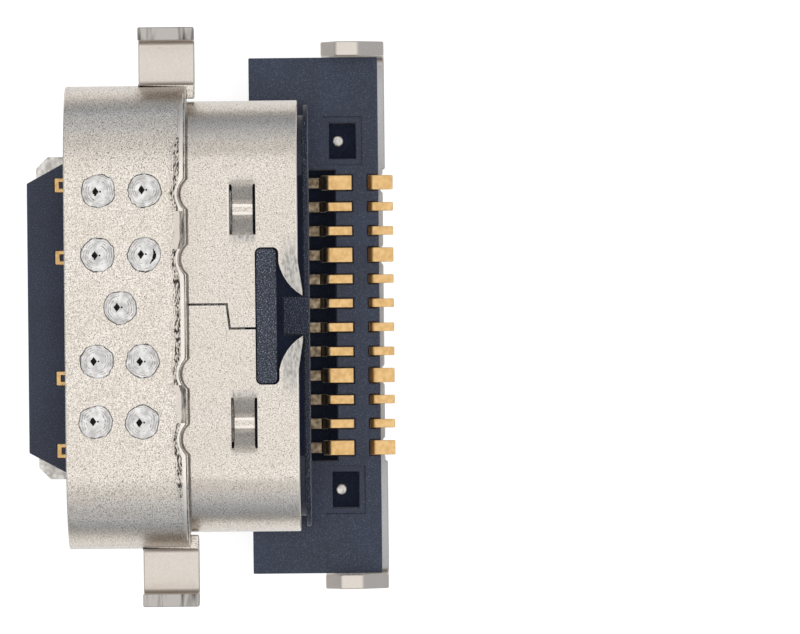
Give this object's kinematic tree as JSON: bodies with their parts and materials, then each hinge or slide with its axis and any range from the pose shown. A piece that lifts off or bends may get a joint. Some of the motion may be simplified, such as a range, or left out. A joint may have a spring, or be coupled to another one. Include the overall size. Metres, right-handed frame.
{
  "type": "charging port connector",
  "caption": "Mid-mount reversible charging receptacle: rolled steel shell with cover plate, welded bracket with feet, black moulding and gold solder tails.",
  "frame": {"origin": "middle of the overall box, on the underside of the cover plate", "axes": "+X along the contact row and through both feet, +Y the way a plug goes in, from the mouth to the solder tails, +Z towards the circuit board"},
  "size_m": [0.012, 0.0076, 0.0038],
  "materials": {
    "plated_steel": "matt nickel-plated stamped stainless sheet",
    "black_resin": "glass-filled liquid-crystal polymer, moulded",
    "carrier_resin": "glass-filled liquid-crystal polymer, moulded",
    "core_steel": "bare stainless sheet",
    "gold_plate": "gold over nickel on copper alloy"
  },
  "bodies": {
    "root": {"shell": "plated_steel", "reinforcing_bracket": "plated_steel", "housing": "black_resin", "upper_contact_carrier": "carrier_resin", "lower_contact_carrier": "carrier_resin", "mid_plate": "core_steel", "upper_ground_shield": "core_steel", "lower_ground_shield": "core_steel", "upper_contact_1": "gold_plate", "upper_contact_2": "gold_plate", "upper_contact_3": "gold_plate", "upper_contact_4": "gold_plate", "upper_contact_5": "gold_plate", "upper_contact_6": "gold_plate", "upper_contact_7": "gold_plate", "upper_contact_8": "gold_plate", "upper_contact_9": "gold_plate", "upper_contact_10": "gold_plate", "upper_contact_11": "gold_plate", "upper_contact_12": "gold_plate", "lower_contact_1": "gold_plate", "lower_contact_2": "gold_plate", "lower_contact_3": "gold_plate", "lower_contact_4": "gold_plate", "lower_contact_5": "gold_plate", "lower_contact_6": "gold_plate", "lower_contact_7": "gold_plate", "lower_contact_8": "gold_plate", "lower_contact_9": "gold_plate", "lower_contact_10": "gold_plate", "lower_contact_11": "gold_plate", "lower_contact_12": "gold_plate"}
  },
  "joints": []
}
